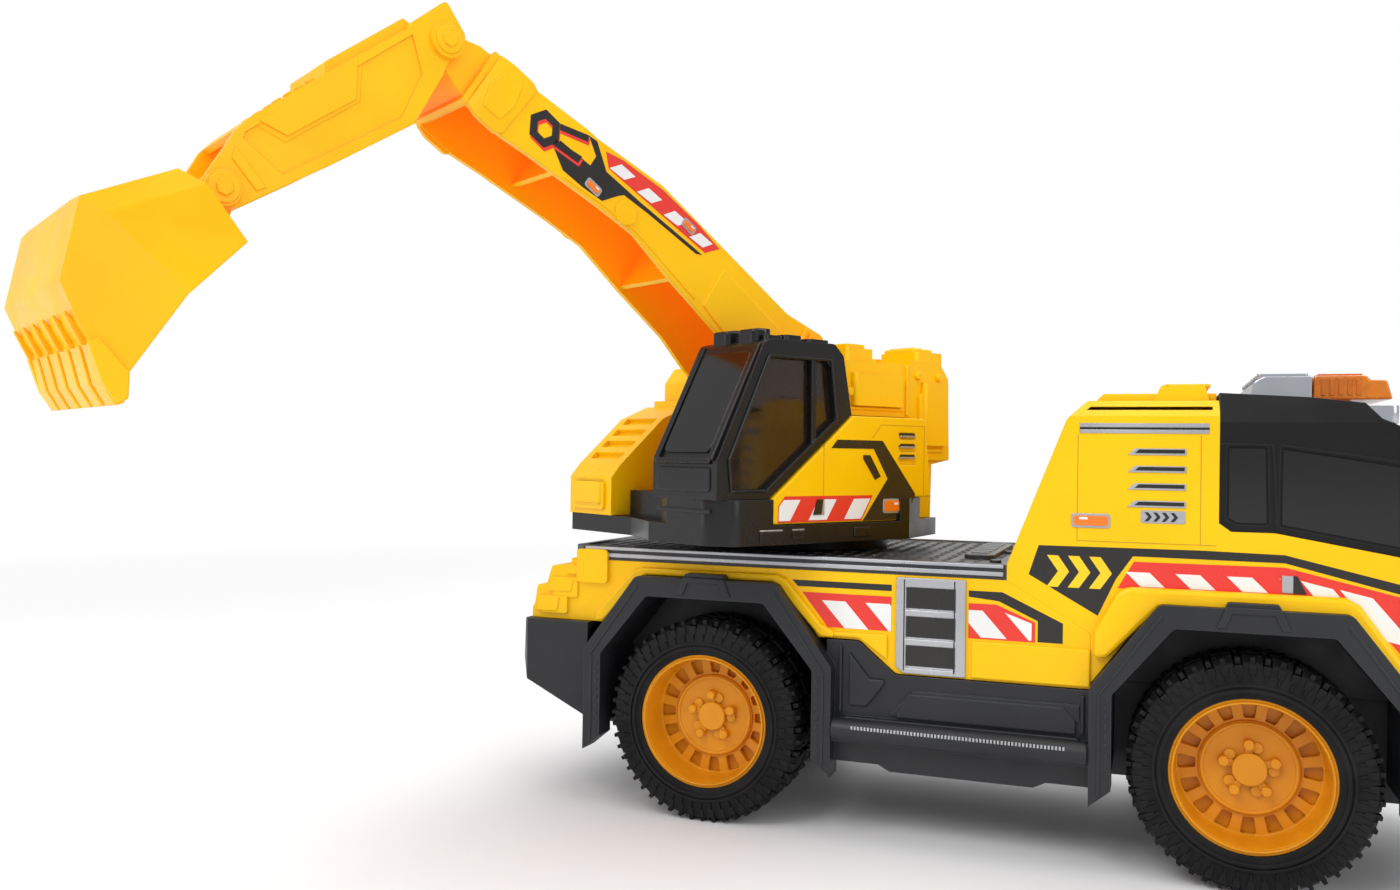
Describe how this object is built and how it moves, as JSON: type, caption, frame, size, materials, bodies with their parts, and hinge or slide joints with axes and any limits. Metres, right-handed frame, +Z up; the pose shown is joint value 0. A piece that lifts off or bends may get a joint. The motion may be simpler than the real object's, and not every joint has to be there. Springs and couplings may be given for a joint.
{
  "type": "rc excavator",
  "caption": "Toy excavator truck: yellow and dark grey road truck whose bed carries a slewing digger cabin with boom, stick and toothed bucket.",
  "frame": {"origin": "middle of the flat chassis underside (outer face of the flush battery door), halfway between the two axles and on the centre line", "axes": "+X towards the front of the truck, +Y towards its left side, +Z up; the tyres reach below Z = 0 and the arm points back and to the right at rest"},
  "size_m": [0.4118, 0.3076, 0.2627],
  "materials": {
    "yellow": "bright yellow moulded plastic",
    "boom_yellow": "warm yellow moulded plastic",
    "dark_grey": "dark grey moulded plastic, fine satin",
    "black_gloss": "black moulded plastic",
    "smoke_glass": "smoked clear plastic",
    "deck_grey": "metallic grey plastic with a fine texture",
    "rim_yellow": "orange yellow moulded plastic",
    "tyre_black": "black moulded tyre",
    "bright_plate": "vacuum plated plastic",
    "amber": "clear amber plastic",
    "steel": "plated steel",
    "board_green": "coated circuit board",
    "white_plastic": "natural white gear plastic",
    "cell_wrap": "printed sleeve",
    "ladder_silver": "silver printed sheet",
    "clear_lens": "clear plastic lens"
  },
  "bodies": {
    "truck": {"chassis": "dark_grey", "body_screws": "steel", "battery_door": "dark_grey", "battery_box": "dark_grey", "battery_cells": "cell_wrap", "door_screw": "steel", "circuit_board": "board_green", "speaker": "white_plastic", "switch_case": "white_plastic", "gearbox": "white_plastic", "drive_motor": "steel", "side_trim_left": "dark_grey", "side_trim_right": "dark_grey", "rear_bumper": "dark_grey", "front_bumper": "dark_grey", "rear_body": "yellow", "deck_plate": "deck_grey", "cab_body": "yellow", "cab_canopy": "black_gloss", "roof_block": "yellow", "light_bar": "bright_plate", "grille": "dark_grey", "headlight_left": "clear_lens", "headlight_right": "clear_lens", "ladder_left": "ladder_silver", "ladder_right": "ladder_silver"},
    "front_wheels": {"front_axle": "steel", "rim_front_left": "rim_yellow", "rim_front_right": "rim_yellow", "tyre_front_left": "tyre_black", "tyre_front_right": "tyre_black"},
    "rear_wheels": {"rear_axle": "steel", "axle_gear": "white_plastic", "rim_rear_left": "rim_yellow", "rim_rear_right": "rim_yellow", "tyre_rear_left": "tyre_black", "tyre_rear_right": "tyre_black"},
    "idler": {"idler_gear": "white_plastic", "idler_shaft": "steel"},
    "pinion": {"motor_pinion": "white_plastic"},
    "beacon": {"beacon_button": "amber"},
    "switch": {"power_switch": "dark_grey"},
    "digger": {"turntable": "black_gloss", "slew_washer": "steel", "slew_screw": "steel", "cabin_shell": "black_gloss", "cabin_glass": "smoke_glass", "cabin_seat": "black_gloss", "side_panel": "yellow", "rear_housing": "yellow", "hood": "yellow", "boom_bracket": "boom_yellow"},
    "boom": {"boom": "boom_yellow", "boom_pin": "rim_yellow"},
    "stick": {"stick": "boom_yellow", "elbow_pin": "rim_yellow", "bucket_pin": "rim_yellow"},
    "bucket": {"bucket": "boom_yellow"}
  },
  "joints": [
    {"name": "slew", "type": "hinge", "parent": "truck", "child": "digger", "pos_m": [-0.074, 0, 0.07], "axis": [0, 0, 1], "continuous": true},
    {"name": "boom_lift", "type": "hinge", "parent": "digger", "child": "boom", "pos_m": [-0.07946, -0.00146, 0.1255], "axis": [-0.866, 0.5, 0], "range_deg": [-18, 12]},
    {"name": "stick_fold", "type": "hinge", "parent": "boom", "child": "stick", "pos_m": [-0.15534, -0.13288, 0.2267], "axis": [-0.866, 0.5, 0], "range_deg": [-5, 55]},
    {"name": "bucket_curl", "type": "hinge", "parent": "stick", "child": "bucket", "pos_m": [-0.18759, -0.18874, 0.17258], "axis": [-0.866, 0.5, 0], "range_deg": [-35, 45]},
    {"name": "front_axle_spin", "type": "hinge", "parent": "truck", "child": "front_wheels", "pos_m": [0.087, 0, 0.0105], "axis": [0, 1, 0], "continuous": true},
    {"name": "rear_axle_spin", "type": "hinge", "parent": "truck", "child": "rear_wheels", "pos_m": [-0.087, 0, 0.0105], "axis": [0, 1, 0], "continuous": true},
    {"name": "idler_spin", "type": "hinge", "parent": "truck", "child": "idler", "pos_m": [-0.07702, 0, 0.01413], "axis": [0, 1, 0], "continuous": true},
    {"name": "motor_spin", "type": "hinge", "parent": "truck", "child": "pinion", "pos_m": [-0.0669, 0, 0.01413], "axis": [0, 1, 0], "continuous": true},
    {"name": "beacon_press", "type": "slide", "parent": "truck", "child": "beacon", "axis": [0, 0, -1], "range_m": [0, 0.0015], "stiffness_N_per_m": 200, "springref_m": -0.001},
    {"name": "power_switch_slide", "type": "slide", "parent": "truck", "child": "switch", "axis": [1, 0, 0], "range_m": [0, 0.0035]}
  ],
  "couplings": [
    {"joint": "idler_spin", "follows": "rear_axle_spin", "ratio": -2.5},
    {"joint": "motor_spin", "follows": "rear_axle_spin", "ratio": 7.5}
  ]
}
